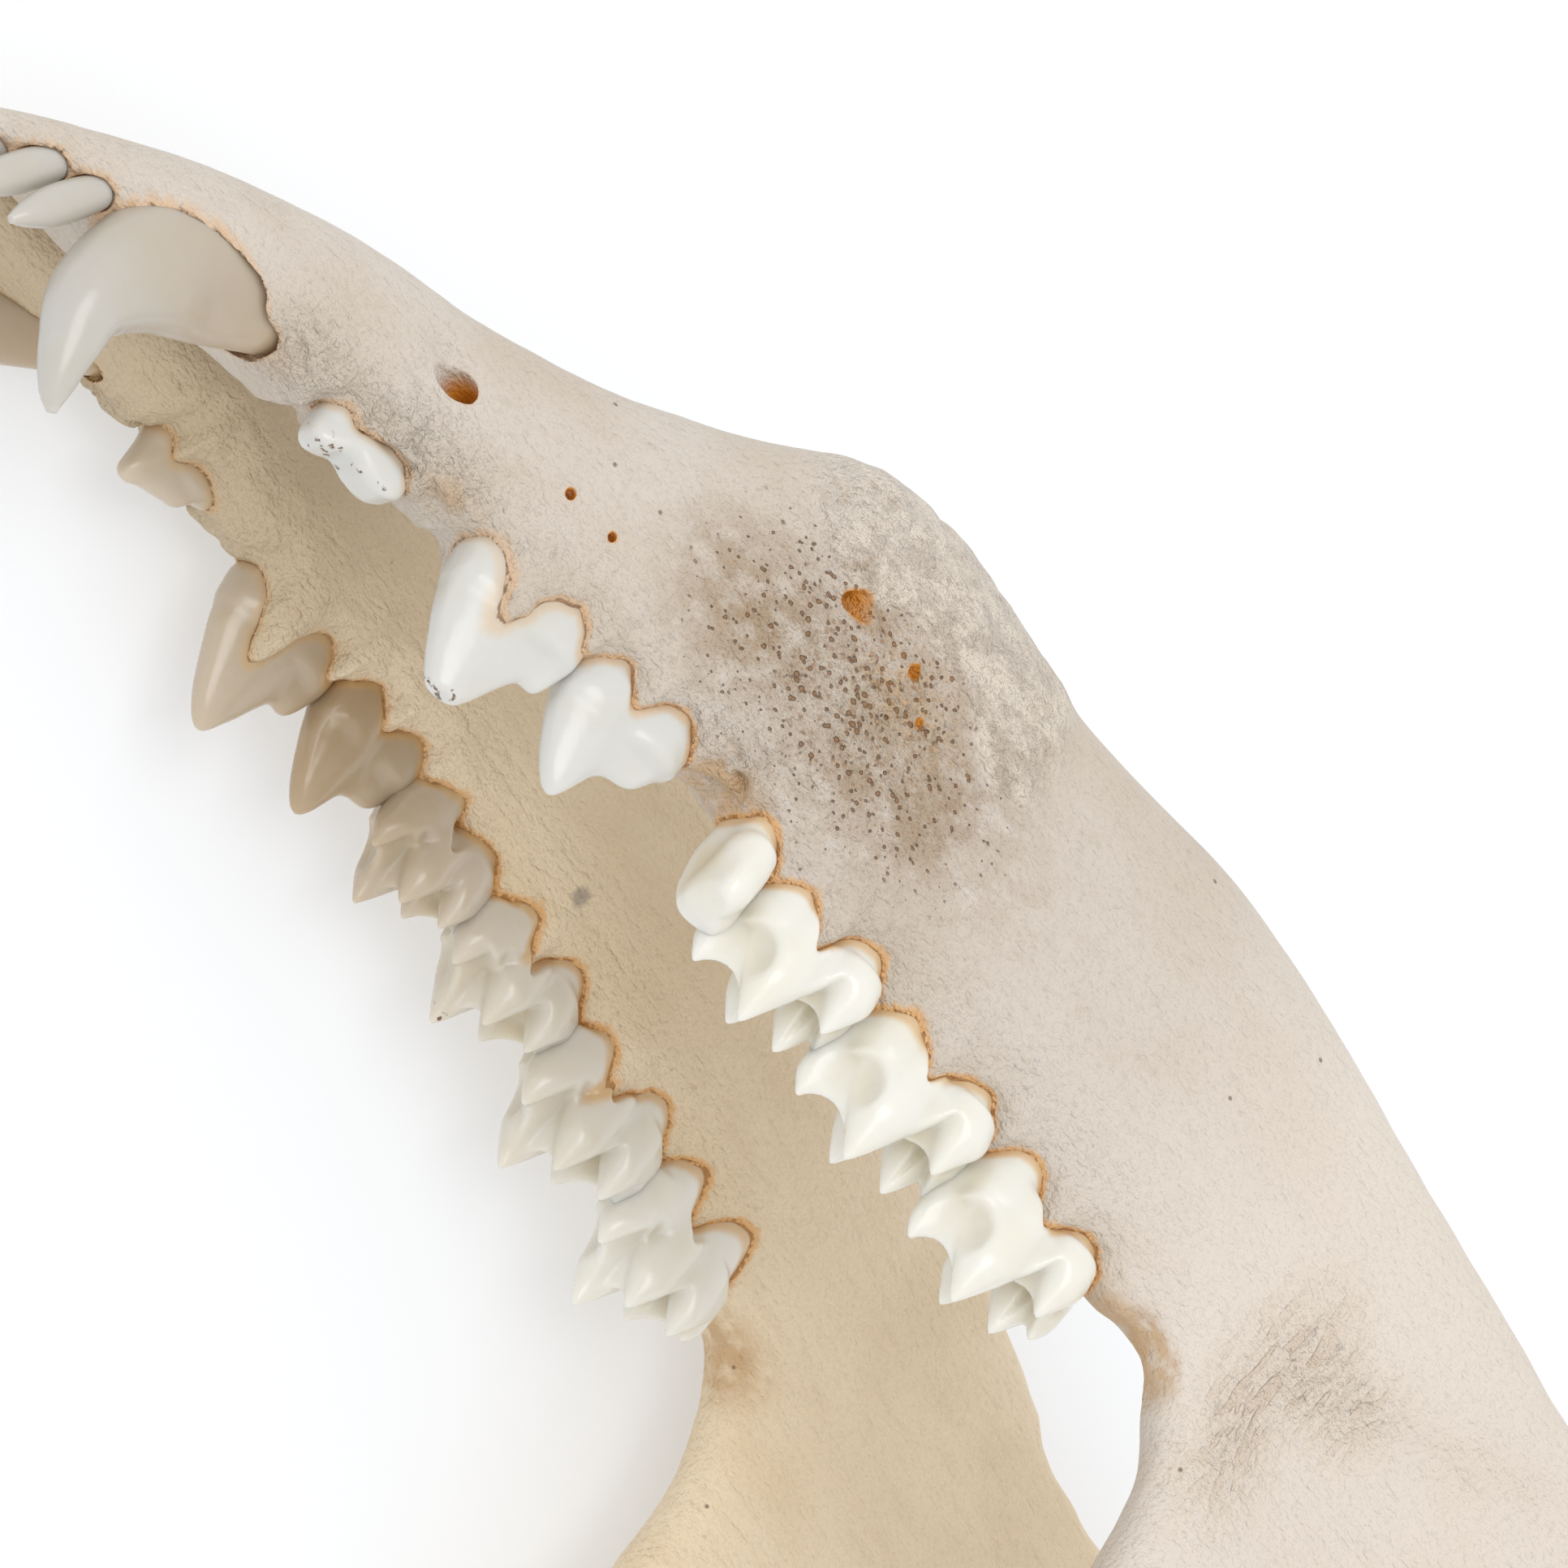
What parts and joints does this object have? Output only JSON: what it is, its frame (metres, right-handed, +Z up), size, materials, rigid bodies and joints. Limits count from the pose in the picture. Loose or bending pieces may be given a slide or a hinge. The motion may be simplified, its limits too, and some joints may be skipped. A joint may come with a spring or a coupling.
{
  "type": "opossum lower jaw",
  "caption": "Life-size lower jaw of an adult Virginia opossum, two separate jaw bones with their teeth, lying on its left side.",
  "frame": {"origin": "on the floor under the middle of the jaw's bounding box, with the jaw lying on its left side", "axes": "+Z up; -X towards the front teeth; -Y roughly the way the teeth point; the right jaw bone is the upper one"},
  "size_m": [0.097, 0.045, 0.0412],
  "materials": {
    "bone_right": "dry cleaned bone, matt and faintly waxy, with glossy cream tooth enamel",
    "bone_left": "dry cleaned bone, matt and faintly waxy, warmer on the tongue side, with glossy cream tooth enamel"
  },
  "bodies": {
    "root": {"dentary_right": "bone_right", "dentary_left": "bone_left"}
  },
  "joints": []
}
